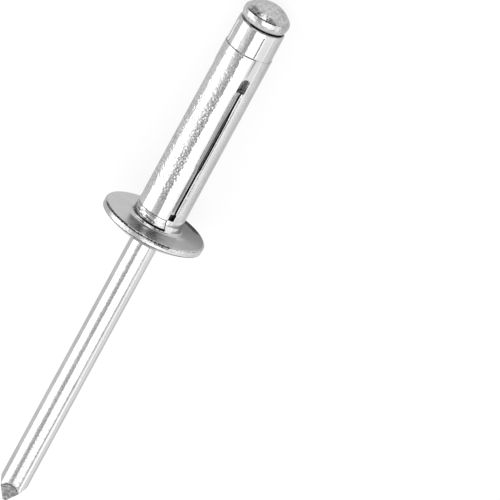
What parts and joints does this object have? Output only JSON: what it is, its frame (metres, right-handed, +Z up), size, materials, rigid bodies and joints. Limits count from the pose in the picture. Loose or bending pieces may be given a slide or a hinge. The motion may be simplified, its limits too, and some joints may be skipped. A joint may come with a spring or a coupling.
{
  "type": "blind rivet",
  "caption": "Slit-body blind rivet, not yet set: domed flange, tubular shank with lengthwise slits, and a round-headed pull stem with a pinched point.",
  "frame": {"origin": "on the plane that the lying rivet rests on, halfway along its length and on its centre line", "axes": "+Z up, +X along the lying rivet towards the stem's point, +Y across it"},
  "size_m": [0.0546, 0.0102, 0.0102],
  "materials": {
    "body_aluminium": "tumbled satin",
    "stem_aluminium": "drawn satin"
  },
  "bodies": {
    "root": {"rivet_body": "body_aluminium", "mandrel": "stem_aluminium"}
  },
  "joints": []
}
